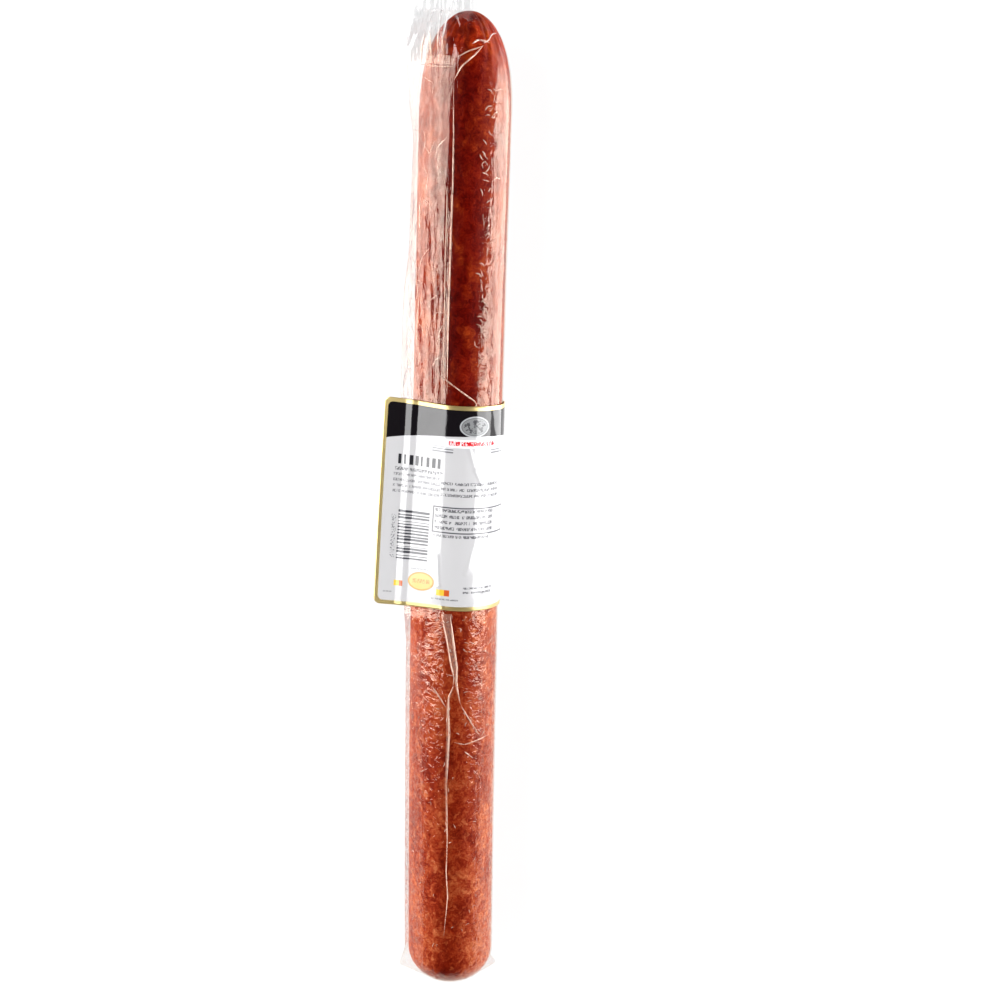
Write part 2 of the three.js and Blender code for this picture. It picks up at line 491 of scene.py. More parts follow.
def left_reach(y):
    """How far the film's left edge stands past the stick's side."""
    neck_edge = -(RADIUS / MM) - NECK_OFFSET / MM + NECK_WIDTH / MM
    return MM * stations(
        y,
        (BUTT, -RADIUS / MM),
        (BUTT + 9, 4.2),
        (BUTT + 26, 0.7),
        (LABEL_BASE - 22, 0.7),
        (LABEL_BASE - 2, 1.6),
        (LABEL_BASE + 14, 4.8),
        (LABEL_TOP + 5, 5.2),
        (LABEL_TOP + 60, 4.6),
        (LABEL_TOP + 100, 1.4),
        (NOSE - 75, 0.6),
        (NOSE - 52, 3.5),
        (NOSE - 22, 6.6),
        (NOSE - 4, 4.0),
        (NOSE + NECK_LENGTH / MM, neck_edge),
    )


def left_rise(y):
    """How far the film's left edge stands above the stick's axis."""
    return MM * stations(
        y,
        (BUTT, 0),
        (BUTT + 26, 8),
        (LABEL_BASE - 30, 9),
        (LABEL_BASE - 8, 17),
        (LABEL_TOP + 5, 19),
        (LABEL_TOP + 100, 20),
        (NOSE - 22, 16),
        (NOSE + NECK_LENGTH / MM, NECK_RISE / MM),
    )


def right_reach(y):
    """How far the film's right edge stands past the stick's side, or inside it if negative."""
    inside = -RADIUS / MM
    return MM * stations(
        y,
        (BUTT, inside),
        (BUTT + 11, 1.5),
        (BUTT + 25, inside / 2),
        (NOSE - 22, inside / 2),
        (NOSE, inside + 3.5),
    )


def film_circles(y):
    """The circles that the film is stretched round at y, each (x, z, radius)."""
    past = clamp((y - NOSE_Y) / NECK_LENGTH)
    middle = axis_x(min(y, NOSE_Y))
    radius = section_radius(min(y, NOSE_Y))
    fold = min(FOLD_RADIUS, radius) if y < 0 else FOLD_RADIUS
    stick_x = middle + (AXIS_X + NECK_OFFSET - middle) * past
    return [
        (stick_x, AXIS_Z + NECK_RISE * past, max(radius, fold)),
        (middle - RADIUS - left_reach(y), AXIS_Z + left_rise(y), fold),
        (middle + RADIUS + right_reach(y), AXIS_Z, fold),
    ]


DIRECTIONS = np.linspace(0, 2 * np.pi, 1441)
NORMAL_X = -np.sin(DIRECTIONS)
NORMAL_Z = -np.cos(DIRECTIONS)
BEND_WEIGHT = 6 * MM
FRONT_WEIGHT = 1.1


def film_ring(y, count):
    """Points and outward normals round the film at y, from its lowest point on towards -X.

    The steps are closer at tight bends and over the front than underneath.
    """
    circles = np.array(film_circles(y))
    reach = circles[:, :1] * NORMAL_X + circles[:, 1:2] * NORMAL_Z + circles[:, 2:]
    chosen = circles[np.argmax(reach, axis=0)]
    x = chosen[:, 0] + chosen[:, 2] * NORMAL_X
    z = chosen[:, 1] + chosen[:, 2] * NORMAL_Z
    steps = np.hypot(np.diff(x), np.diff(z))
    front = 1 + FRONT_WEIGHT * np.clip(NORMAL_Z[1:] + 0.3, 0, 1)
    measure = np.concatenate([[0], np.cumsum(steps * front + BEND_WEIGHT * np.diff(DIRECTIONS))])
    even = np.linspace(0, measure[-1], count + 1)
    parts = [np.interp(even, measure, values) for values in (x, z, NORMAL_X, NORMAL_Z)]
    length = np.hypot(parts[2], parts[3])
    return parts[0], parts[1], parts[2] / length, parts[3] / length


def under_label(y):
    """1 where the label presses the film flat, 0 away from it."""
    y = y / MM
    return ease(y, LABEL_BASE - 6, LABEL_BASE + 2) * ease(y, LABEL_TOP + 5, LABEL_TOP - 3)


def film_crinkle(x, y, z, up):
    """How far the film stands off its stretched outline, at a point on it."""
    across = (x - axis_x(min(y, NOSE_Y))) / MM
    along = y / MM
    free = 1 - 0.93 * under_label(y)
    amount = 0.10 * grain(x / (3.2 * MM), along / 45, z / (3.2 * MM), 1.0, 3)
    # Below the label a net of ridges, closest near the label.
    lower = ease(along, LABEL_BASE + 4, LABEL_BASE - 8)
    tight = 0.08 + 0.12 * ease(along, LABEL_BASE - 110, LABEL_BASE - 20)
    amount += lower * tight * ridges(x, y, z, 6.5 * MM)
    amount += lower * 0.09 * grain(x, y, z, 2.6 * MM, 1)
    # Above it, rough at the right and softly streaked on the fold at the left.
    upper = ease(along, LABEL_TOP - 4, LABEL_TOP + 8)
    right = bump(across, 17, 7) * clamp(up + 0.4)
    amount += upper * right * 0.30 * ridges(x, y * 0.75, z, 4.0 * MM)
    amount += upper * right * 0.20 * grain(x, y * 0.6, z, 7 * MM, 3)
    left = ease(across, -8, -13) * clamp(up + 0.6)
    slant = across + along * 0.10
    amount += upper * left * 0.06 * grain(slant / 2.2, along / 40, 0.0, 1.0, 3)
    amount += upper * left * 0.05 * ridges(across * 0.8, along * 0.16, 5.0, 4.5)
    # A groove runs beside the fold's long crease.
    groove = ease(along, 165, 200) * ease(along, 268, 262) * (up > 0)
    amount += 0.33 * groove * ease(across, -11.2, -9.6) * clamp((-5.6 - across) / 4.0)
    # The back has only coarse ridges.
    back = ease(up, 0.1, -0.4)
    amount += back * 0.22 * ridges(x, y * 0.5, z, 9 * MM)
    return MM * free * amount


def neck_pleats(x, y, z):
    """Folds that gather the slack film towards its neck, as a height up or down."""
    along = (y - NOSE_Y) / MM
    spread = 1 + 0.045 * max(0.0, -along)
    centre = AXIS_X + NECK_OFFSET - NECK_WIDTH / 2
    across = (x - centre) / MM / spread
    gathered = ease(along, -34 + 20 * ease(across, 7, 11), 4)
    folds = math.sin(across * 1.35 + 0.8 * grain(across / 5, along / 20, 0.0, 1.0))
    folds += 0.45 * math.sin(across * 2.9 + 1.3)
    left = 0.3 + 0.7 * ease(across, 14, 4)
    return 0.85 * MM * gathered * left * folds


def film_rows():
    """Where the film's rings are, from the butt's tip to the neck's mouth."""
    butt = [BUTT_Y + BUTT_LENGTH * end_share(k / BUTT_ROWS) for k in range(BUTT_ROWS)]
    start, end = BUTT_Y + BUTT_LENGTH, NOSE_Y - HOOD_LENGTH
    body = [start + (end - start) * k / FILM_BODY_ROWS for k in range(FILM_BODY_ROWS)]
    hood = [end + (NECK_END - end) * k / FILM_HOOD_ROWS for k in range(FILM_HOOD_ROWS + 1)]
    return butt + body + hood


def film_points():
    """One list of places for each ring of the film."""
    rings = []
    for y in film_rows():
        nose_slope = (section_radius(min(y + MM, NOSE_Y)) - section_radius(min(y, NOSE_Y))) / MM
        xs, zs, normals_x, normals_z = film_ring(y, FILM_COLUMNS)
        ring = []
        for x, z, nx, nz in zip(xs, zs, normals_x, normals_z):
            angle = math.atan2(x - axis_x(min(y, NOSE_Y)), z - AXIS_Z)
            near = clamp(section_radius(min(y, NOSE_Y)) / (8 * MM))
            off = FILM_GAP + near * (film_crinkle(x, y, z, nz) + 0.5 * slow_swell(angle, y))
            px, pz = x + nx * off, z + nz * off
            py = y + clamp(-nose_slope, -1, 1) * 0.2 * MM
            pleat = neck_pleats(px, y, pz) * clamp(1.6 - abs(nz) * 0.6)
            # Past the nose both faces move together, and before it only the front does.
            pz += pleat if y > NOSE_Y else pleat * (0.8 if nz > 0 else 0.0) * nz
            ring.append(Vector((px, py, max(pz, LOWEST_FILM))))
        rings.append(ring)
    tip = sum(rings[0], Vector()) / len(rings[0])
    tip.y = BUTT_Y - FILM_GAP
    rings[0] = [tip.copy() for _ in rings[0]]
    for ring in rings:
        ring[-1] = ring[0].copy()
    return rings


def film_relief(start, place, crumpled, streaks):
    """The normal of fine crumples, strongest just below the label and at the upper right."""
    x, y, _ = place.split()
    crumple = start.cells(crumpled, 290) + start.cells(crumpled, 640) * 0.5
    rumple = y.ramp(-0.055, -0.065) * y.ramp(-0.20, -0.09, 0.75, 1.15)
    right_rumple = x.ramp(0.017, 0.021) * x.ramp(0.030, 0.024) * y.ramp(0.055, 0.065)
    height = streaks * 0.25 + crumple * (rumple * 0.28 + right_rumple * 0.16 + 0.05)
    return start.relief(height, 0.0008, 0.8)


def film_shine(start, place, crumpled, normal):
    """How much of the film's surface mirrors what is round it."""
    x, y, _ = place.split()
    facing = start.node("ShaderNodeLayerWeight", None, {"Blend": 0.5, "Normal": normal}, "Facing")
    patches = start.noise(start.stretched(crumpled, 1.0, 0.10, 1.0), 330, 4, 0.6)
    shine = (facing**4.6) * 0.9 + patches.ramp(0.36, 0.62, 0.125, 0.07)
    shine = shine * y.ramp(0.19, 0.24, 1.0, 0.80).most(x.ramp(-0.002, 0.004))
    # Above the label the film clings to the meat, with a ragged edge at its right, and dulls.
    jag = start.noise(start.stretched(place, 1.0, 0.7, 1.0), 190, 4, 0.65)
    edge = x - AXIS_X + (jag - 0.5) * 0.014 - y * 0.034 - 0.0114
    cling = edge.ramp(0.0008, -0.0008) * (x - AXIS_X).ramp(0.002, 0.006) * y.ramp(0.070, 0.085)
    shine = shine * (1 - cling * 0.85)
    # Below the label it is mottled, and over the nose's right shoulder it hardly shines.
    speckle = start.noise(start.stretched(crumpled, 1.0, 0.6, 1.0), 520, 3, 0.7)
    mottled = y.ramp(-0.055, -0.075) * (speckle.ramp(0.36, 0.64, 0.45, 1.6) - 1)
    shine = shine * (1 + mottled)
    shoulder = y.ramp(0.258, 0.276) * x.ramp(0.010, 0.017)
    return shine * (1 - shoulder * 0.75)


def clear_film():
    """Thin clear plastic: mostly see-through, with its two faces' reflection and fine crumples."""
    material, start, output = new_material("clear_film")
    place = object_place(start)
    x, y, _ = place.split()
    streaks = start.noise(start.stretched(place, 1.0, 0.12, 1.0), 420, 3, 0.6)
    drift = start.node("ShaderNodeTexNoise", None, {"Vector": place, "Scale": 210}, "Color")
    crumpled = start.shifted(place, drift, 0.006)
    normal = film_relief(start, place, crumpled, streaks)
    shine = film_shine(start, place, crumpled, normal)
    # The gathered hood is hazy, and the rest has only thin hazy streaks.
    hood = y.ramp(0.250, 0.275) * x.ramp(0.002, -0.010)
    gathered = hood * (0.08 + streaks.ramp(0.50, 0.72) * 0.14) + streaks.ramp(0.55, 0.75) * 0.005
    amount = (shine + gathered).least(1.0)
    # Over the stick the sheet takes a warm tint, painted light from the meat under it in the film's
    # reflection and haze; past the nose it is grey.
    over_stick = y.ramp(0.285, 0.262).blend((0.76, 0.76, 0.765, 1), (0.96, 0.83, 0.71, 1))
    surface = film_surface(start, amount, shine / amount, normal, over_stick)
    return finish_material(material, output, surface)


def film_surface(start, amount, metallic, normal, tint):
    """See-through where the amount is 0, and a tinted sheet where it is 1.

    The sheet mirrors as far as metallic goes, and scatters light like haze in the rest.
    """
    clear = start.node("ShaderNodeBsdfTransparent", None, {"Color": (0.972, 0.974, 0.976, 1)})
    sheet = start.node(
        "ShaderNodeBsdfPrincipled",
        None,
        {
            "Base Color": tint,
            "Metallic": metallic,
            "Roughness": 0.07,
            "Normal": normal,
        },
    )
    return start.node("ShaderNodeMixShader", None, {0: amount, 1: clear, 2: sheet})


FOLD_MIRROR = 0.25


def folded_film(name, haze):
    """The same plastic where it is creased or doubled, which scatters more light."""
    material, start, output = new_material(name)
    place = object_place(start)
    streaks = start.noise(start.stretched(place, 1.0, 0.3, 1.0), 700, 3, 0.6)
    normal = start.relief(streaks, 0.0003, 0.5)
    amount = streaks.ramp(0.35, 0.65, haze * 0.75, haze * 1.2)
    y = place.split()[1]
    # Over the stick the meat's light warms it, and past the nose it is plain white.
    tint = y.ramp(0.292, 0.280).blend((0.97, 0.97, 0.97, 1), (0.98, 0.72, 0.58, 1))
    surface = film_surface(start, amount, FOLD_MIRROR, normal, tint)
    return finish_material(material, output, surface)


def film_bag(film):
    """The bag itself. Gives back its surface, which the creases and pleats are laid on."""
    rings = film_points()
    bm = bmesh.new()
    last = len(rings) - 1

    def place(u, v):
        return rings[round(v * last)][round(u * FILM_COLUMNS)]

    laid_grid(bm, FILM_COLUMNS, last, place)
    bmesh.ops.remove_doubles(bm, verts=bm.verts, dist=0.005 * MM)
    bmesh.ops.recalc_face_normals(bm, faces=bm.faces)
    if sum(face.normal.z * (face.calc_center_median().z - AXIS_Z) for face in bm.faces) < 0:
        bmesh.ops.reverse_faces(bm, faces=bm.faces)
    surface = BVHTree.FromBMesh(bm)
    piece = new_piece("clear_film_bag", bm)
    piece.data.materials.append(film)
    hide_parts("film_bag")
    return surface


# ---------------------------------------------------------------- creases in the film

# Each crease is its points in plan, then its width and height in millimetres.
LONG_CREASES = [
    ([(-6.4, 262), (-5.4, 230), (-5.1, 205), (-5.5, 160), (-5.9, 120), (-5.6, 78)], 1.0, 0.40),
    ([(-15.5, 226), (-12.0, 212), (-8.2, 196), (-8.4, 160), (-8.2, 120), (-7.9, 78)], 0.7, 0.25),
    ([(-14.9, 93), (-1.0, 83), (11.3, 74), (14.5, 66)], 0.9, 0.4),
    ([(-6.6, -59), (-3.0, -76), (-0.2, -92), (1.9, -100), (1.3, -106)], 1.0, 0.4),
    ([(-1.2, -59), (1.6, -80), (3.7, -94), (3.4, -104), (6.1, -118)], 1.3, 0.5),
    ([(6.1, -118), (12.5, -130), (19.0, -142)], 0.9, 0.4),
    ([(1.4, -106), (-1.4, -113), (-1.3, -123), (-0.6, -137), (-1.8, -171)], 1.3, 0.5),
    ([(-1.8, -171), (-1.1, -209), (-1.6, -231), (-0.5, -249), (-2.8, -276)], 0.8, 0.3),
    ([(-11.9, -107), (-7.5, -113), (-2.9, -120)], 0.9, 0.35),
    ([(2.4, -143), (9.0, -145), (16.0, -143.5), (24.0, -142)], 0.8, 0.3),
    ([(9.0, -149.5), (14.6, -155)], 0.8, 0.3),
    ([(19.0, -142), (21.5, -138)], 0.8, 0.3),
]
# Creases round the hood, then four on the fold.
CRUMPLE_CREASES = [
    ([(-6.2, 262), (-3.2, 268), (-1.8, 270), (5.0, 276), (9.6, 281.5)], 1.0, 0.6),
    ([(9.0, 282.5), (12.5, 284.5), (14.0, 288), (17.0, 289)], 0.8, 0.4),
    ([(-6.0, 274), (1.0, 278), (9.2, 281)], 0.9, 0.45),
    ([(3.0, 282), (6.0, 284.5), (10.5, 284), (13.0, 283)], 1.2, 0.5),
    ([(-26.0, 270), (-16.0, 269), (-6.5, 269)], 1.0, 0.35),
    ([(-22.0, 289), (-21.0, 280), (-19.5, 271)], 1.4, 0.6),
    ([(-24.5, 289), (-26.0, 280), (-26.0, 271)], 1.6, 0.7),
    ([(-15.5, 306), (-16.5, 296), (-16.8, 285), (-16.0, 275)], 1.8, 0.8),
    ([(-11.0, 304), (-13.0, 294), (-14.5, 284), (-14.0, 274)], 1.2, 0.5),
    ([(-18.0, 312), (-20.0, 302), (-23.5, 292)], 1.1, 0.5),
    ([(-23.0, 226), (-19.5, 219), (-16.5, 227)], 0.8, 0.3),
    ([(-24.0, 196), (-24.3, 185), (-24.0, 172)], 0.9, 0.35),
    ([(-29.0, 118), (-29.5, 104), (-29.0, 88)], 0.8, 0.3),
    ([(-23.5, 138), (-24.5, 120), (-24.0, 100)], 0.9, 0.3),
]


# Patches of crinkles: seed, count, places across and along, size, headings, and boldness.
CRINKLE_PATCHES = [
    (3, 64, (12, 19), (84, 262), 6.0, (-1.2, 1.2), 1.25),
    (5, 26, (-27, -9), (84, 262), 16, (-0.35, 0.25), 1.0),
    (8, 70, (-25, 25), (-140, -60), 4.0, (-1.6, 1.6), 1.0),
    (13, 36, (-25, 25), (-290, -140), 4.0, (-0.9, 0.9), 1.0),
]


def crinkle_scatter(seed, count, across, along, size, turn, bold):
    """Short crisp crinkles with one bend each, scattered over a patch of the film."""
    draw = random.Random(seed)
    made = []
    for _ in range(count):
        x = draw.uniform(*across)
        y = draw.uniform(*along)
        heading = draw.uniform(*turn)
        length = draw.uniform(0.5, 1.0) * size
        points = [(x, y)]
        for bend in (0.0, draw.uniform(-1.4, 1.4)):
            x += length / 2 * math.sin(heading + bend)
            y += length / 2 * math.cos(heading + bend)
            points.append((x, y))
        made.append((points, bold * draw.uniform(0.35, 0.6), bold * draw.uniform(0.08, 0.2)))
    return made


def along_path(points, step):
    """Even steps along straight runs between the points."""
    places = []
    for (x0, y0), (x1, y1) in zip(points, points[1:]):
        count = max(2, round(math.hypot(x1 - x0, y1 - y0) / step))
        places += [(x0 + (x1 - x0) * k / count, y0 + (y1 - y0) * k / count) for k in range(count)]
    return places + [points[-1]]


def smoothed(places, rounds=2):
    """The places with their corners rounded off and their ends kept."""
    for _ in range(rounds):
        middle = [
            tuple((a + 2 * b + c) / 4 for a, b, c in zip(p, q, r))
            for p, q, r in zip(places, places[1:], places[2:])
        ]
        places = [places[0], *middle, places[-1]]
    return places


WELL_ABOVE = 0.2


def on_film(surface, across, along):
    """The film's top at a place in plan, and its normal, or None off its edge."""
    y = along * MM
    start = Vector((axis_x(min(y, NOSE_Y)) + across * MM, y, WELL_ABOVE))
    place, normal, _, _ = surface.ray_cast(start, Vector((0, 0, -1)))
    if place is None:
        return None
    return place, normal if normal.z > 0 else -normal


# A crease's section: each column's place as a share of its width, and its share of the height.
CREASE_SIDE = (-0.5, -0.3, -0.12, 0.0, 0.12, 0.3, 0.5)
CREASE_HEIGHT = (-0.15, 0.25, 0.8, 1.0, 0.8, 0.25, -0.15)


def add_crease(bm, surface, points, width, height):
    """One raised fold of film, highest in its middle and running out at both ends."""
    places = smoothed(along_path(points, 0.8))
    found = [on_film(surface, *place) for place in places]
    found = [hit for hit in found if hit]
    if len(found) < 4:
        return
    last = len(found) - 1

    def place(u, v):
        k = round(v * last)
        here, normal = found[k]
        ahead = found[min(k + 1, last)][0] - found[max(k - 1, 0)][0]
        side = ahead.cross(normal).normalized()
        ends = min(1.0, 4 * min(k, last - k) / last + 0.12)
        column = round(u * (len(CREASE_SIDE) - 1))
        offset = side * CREASE_SIDE[column] * width * ends
        return here + MM * (offset + normal * (CREASE_HEIGHT[column] * height * ends + 0.03))

    laid_grid(bm, len(CREASE_SIDE) - 1, last, place)


def film_creases(surface, fold):
    """Every crease and crinkle of the film, as one piece."""
    bm = bmesh.new()
    creases = LONG_CREASES + CRUMPLE_CREASES
    for patch in CRINKLE_PATCHES:
        creases += crinkle_scatter(*patch)
    for points, width, height in creases:
        add_crease(bm, surface, points, width, height)
    piece = new_piece("film_creases", bm)
    piece.data.materials.append(fold)


# Strips where the film is folded double: their left and right sides in plan, top to bottom.
PLEATS = [
    (
        [(-6.6, -59), (-3.6, -74), (-0.6, -90), (1.5, -99), (2.6, -106), (5.2, -116)],
        [(-1.2, -59), (1.0, -74), (3.2, -90), (3.6, -99), (4.0, -106), (6.2, -116)],
    ),
    (
        [(1.2, -106), (-2.2, -114), (-2.9, -123), (-2.4, -137), (-3.0, -171), (-2.0, -205)],
        [(2.0, -106), (-0.4, -114), (-1.0, -123), (-0.5, -137), (-1.4, -171), (-1.3, -205)],
    ),
    (
        [(-24.0, 294), (-24.5, 286), (-24.0, 276)],
        [(-18.0, 294), (-17.0, 286), (-16.0, 276)],
    ),
    (
        [(-23.5, 271), (-15.0, 270.5), (-7.0, 270)],
        [(-23.5, 276), (-15.0, 276), (-7.0, 275)],
    ),
    (
        [(-14.0, 318), (-14.8, 302), (-15.0, 288), (-13.5, 276)],
        [(-12.0, 318), (-12.3, 302), (-12.0, 288), (-11.5, 276)],
    ),
    (
        [(-22.5, 291), (-23.0, 281), (-23.5, 270)],
        [(-20.5, 291), (-20.8, 281), (-20.0, 270)],
    ),
]


def film_pleats(surface, doubled):
    """Flat strips of doubled film that lie on the bag."""
    bm = bmesh.new()
    for left, right in PLEATS:
        sides = [smoothed(along_path(side, 1.0)) for side in (left, right)]
        count = max(len(side) for side in sides)

        def place(u, v, sides=sides, last=count - 1):
            ends = [side[round(v * (len(side) - 1))] for side in sides]
            across = ends[0][0] + u * (ends[1][0] - ends[0][0])
            along = ends[0][1] + u * (ends[1][1] - ends[0][1])
            hit = on_film(surface, across, along) or on_film(surface, ends[1][0], ends[1][1])
            return hit[0] + hit[1] * MM * (0.25 + 0.3 * u * (1 - u))

        laid_grid(bm, 6, count - 1, place)
    piece = new_piece("film_pleats", bm)
    piece.data.materials.append(doubled)


# ---------------------------------------------------------------- the label


def label_leaves():
    """The angle round the stick at which the label's free flap leaves it."""
    across, up = -(RADIUS + FOLD_REACH), FOLD_RISE
    apart = math.hypot(across, up)
    return math.atan2(across, up) + math.acos((RADIUS - FOLD_RADIUS) / apart)


LEAVES = label_leaves()
LABEL_WIDTH = LABEL_FLAP + (LABEL_FAR_ANGLE - LEAVES) * LABEL_INSIDE / MM


# The free flap turns up at two creases, each at a place from the label's left edge. The inner
# one's slope runs out again after its width.
FLAP_SLOPE = 0.15
OUTER_CREASE = 13.1
INNER_CREASE = 20.7
INNER_CREASE_WIDTH = 3.1


def flap_lift(u):
    """How far the free flap curls up from its straight run, u from the label's left edge."""
    lift = FLAP_SLOPE * max(0.0, OUTER_CREASE - u)
    lift += FLAP_SLOPE * clamp(INNER_CREASE - u, 0, INNER_CREASE_WIDTH)
    return lift * MM


def near_line(u, v, start, end):
    """The distance from a place on the flat label to a straight line, in millimetres."""
    across, up = end[0] - start[0], end[1] - start[1]
    share = clamp(((u - start[0]) * across + (v - start[1]) * up) / (across**2 + up**2))
    return math.hypot(u - start[0] - share * across, v - start[1] - share * up)


# Soft folds in the stuck part: each one's two ends on the flat label, its height and width.
LABEL_FOLDS = [
    ((38.9, 34), (41.0, 15), 0.35, 1.6),
    ((41.0, 15), (44.2, 0), 0.45, 1.6),
    ((53.1, 104), (58.7, 89), 0.35, 1.6),
    ((58.7, 89), (67.0, 73.7), 0.35, 1.6),
    ((62, 46), (57, 24), 0.25, 2.6),
    ((66, 40), (70, 12), 0.25, 3.0),
]


def label_relief(u, v):
    """Soft folds and waves in the stuck part of the label."""
    height = 0.16 * (1 + grain(u / 9, v / 26, 2.0, 1.0, 2)) * ease(u, 28, 42)
    height += 0.10 * (1 + grain(u / 5, v / 7, 9.0, 1.0, 1)) * ease(u, 44, 52)
    for start, end, rise, width in LABEL_FOLDS:
        height += rise * bump(near_line(u, v, start, end), 0, width)
    return height * MM


def label_place(u, v):
    """Where a place on the flat label goes, in millimetres from its left edge and its base."""
    across, up = u - LABEL_WIDTH / 2, (v - LABEL_HEIGHT / 2) * (1 + 0.022 * ease(u, 45, 0))
    turned = across * math.cos(LABEL_SKEW) + up * math.sin(LABEL_SKEW)
    y = LABEL_Y + MM * (up * math.cos(LABEL_SKEW) - across * math.sin(LABEL_SKEW))
    wrapped = MM * (turned + LABEL_WIDTH / 2 - LABEL_FLAP)
    angle = LEAVES + max(0.0, wrapped) / LABEL_INSIDE
    straight = min(0.0, wrapped)
    out = LABEL_INSIDE + label_relief(u, v)
    out += flap_lift(u) * (1 + 0.3 * math.sin(v / 40))
    x = axis_x(y) + out * math.sin(angle) + straight * math.cos(angle)
    z = AXIS_Z + out * math.cos(angle) - straight * math.sin(angle)
    return Vector((x, y, max(z, LOWEST_LABEL)))


def label_mesh():
    """The label's sheet with rounded corners. Its map, named sheet, is in label heights."""
    bm = bmesh.new()
    flat = {}

    def place(u, v):
        across = (u - 0.5) * LABEL_WIDTH
        into_corner = max(0.0, abs(across) - LABEL_WIDTH / 2 + LABEL_CORNER)
        cut = LABEL_CORNER - math.sqrt(max(0.0, LABEL_CORNER**2 - into_corner**2))
        up = (v - 0.5) * (LABEL_HEIGHT - 2 * cut)
        return Vector((across + LABEL_WIDTH / 2, up + LABEL_HEIGHT / 2, 0))

    verts = laid_grid(bm, 164, 166, place)
    for vert in verts:
        flat[vert] = (vert.co.x, vert.co.y)
        vert.co = label_place(vert.co.x, vert.co.y)
    sheet = bm.loops.layers.uv.new("sheet")
    for face in bm.faces:
        for loop in face.loops:
            u, v = flat[loop.vert]
            loop[sheet].uv = (u / LABEL_HEIGHT, v / LABEL_HEIGHT)
    bmesh.ops.recalc_face_normals(bm, faces=bm.faces)
    if sum(face.normal.z for face in bm.faces) < 0:
        bmesh.ops.reverse_faces(bm, faces=bm.faces)
    return bm


# The softness of an ink edge in millimetres, and how fine the greeked words' specks are.
INK_EDGE = 0.12
SPECKS_PER_MM = 2.6 / 0.9
SPECKS_PER_ROW = 4.0


class Print:
    """Marks printed on the label, each a mask that is 1 on the mark and 0 off it."""

    def __init__(self, start):
        self.start = start
        sheet = start.node("ShaderNodeUVMap", {"uv_map": "sheet"})
        across, up, _ = sheet.split()
        self.u = across * LABEL_HEIGHT
        self.v = up * LABEL_HEIGHT

    def within(self, value, low, high):
        return value.ramp(low - INK_EDGE, low + INK_EDGE) * value.ramp(high + INK_EDGE, high - INK_EDGE)

    def box(self, low, high):
        return self.within(self.u, low[0], high[0]) * self.within(self.v, low[1], high[1])

    def round_box(self, low, high, corner):
        """1 inside a box with round corners."""
        half = ((high[0] - low[0]) / 2 - corner, (high[1] - low[1]) / 2 - corner)
        over_u = (abs(self.u - (low[0] + high[0]) / 2) - half[0]).most(0.0)
        over_v = (abs(self.v - (low[1] + high[1]) / 2) - half[1]).most(0.0)
        distance = (over_u * over_u + over_v * over_v) ** 0.5
        return distance.ramp(corner + INK_EDGE, corner - INK_EDGE)

    def oval(self, centre, half):
        across = (self.u - centre[0]) / half[0]
        up = (self.v - centre[1]) / half[1]
        return (across * across + up * up).ramp(1.06, 0.94)

    def words(self, low, high, pitch, size, seed):
        """Rows of greeked words: specks in runs of uneven length, and no letters."""
        down = (high[1] - self.v) / pitch
        row = down.math("FLOOR", down)
        within_row = down - row
        line = within_row.ramp(0.12, 0.18) * within_row.ramp(size + 0.15, size + 0.09)
        gaps = self.start.noise(self.start.joined(self.u * 0.42, row * 7.3 + seed, 0.0), 1.0, 1.0)
        fine_u = self.u * SPECKS_PER_MM
        fine_v = within_row * SPECKS_PER_ROW
        column = fine_u.math("FLOOR", fine_u)
        cell = self.start.joined(column, fine_v.math("FLOOR", fine_v), row + seed)
        speck = self.start.node("ShaderNodeTexWhiteNoise", None, {"Vector": cell}, "Value")
        return line * gaps.ramp(0.37, 0.39) * speck.over(0.30) * self.box(low, high)

    def chance(self, number):
        """A random value from 0 to 1 for each whole number."""
        one_way = {"noise_dimensions": "1D"}
        return self.start.node("ShaderNodeTexWhiteNoise", one_way, {"W": number}, "Value")

    def bars(self, low, high, pitch):
        """A run of printed bars of random widths, with no code in them."""
        along = (self.v - low[1]) / pitch
        step = along.math("FLOOR", along)
        width = self.chance(step)
        bar = (along - step - width * 0.6 - 0.16).ramp(0.05, -0.05)
        return bar * self.box(low, high)


WHITE = (0.54, 0.535, 0.545, 1)
BLACK = (0.012, 0.010, 0.012, 1)
GOLD = (0.80, 0.64, 0.30, 1)
GREY = (0.10, 0.10, 0.11, 1)
RED = (0.62, 0.03, 0.04, 1)
SILVER = (0.42, 0.43, 0.44, 1)
GOLD_EDGE = 2.6
INNER_CORNER = 3.0


def print_emblem(ink, colour):
    """A plain oval with a ring and a few shapeless blots."""
    start = ink.start
    emblem = (57.0, 115.6)
    colour = ink.oval(emblem, (9.6, 6.4)).blend(colour, SILVER)
    colour = (ink.oval(emblem, (8.7, 5.6)) * 0.9).blend(colour, (0.12, 0.12, 0.13, 1))
    colour = ink.oval(emblem, (8.2, 5.1)).blend(colour, (0.24, 0.245, 0.25, 1))
    blots = start.noise(start.joined(ink.u * 0.45, ink.v * 0.45, 0.0), 1.0, 2.0, 0.6)
    shade = ink.oval(emblem, (7.2, 4.2)) * blots.ramp(0.50, 0.56)
    return (shade * 0.85).blend(colour, (0.05, 0.05, 0.055, 1))


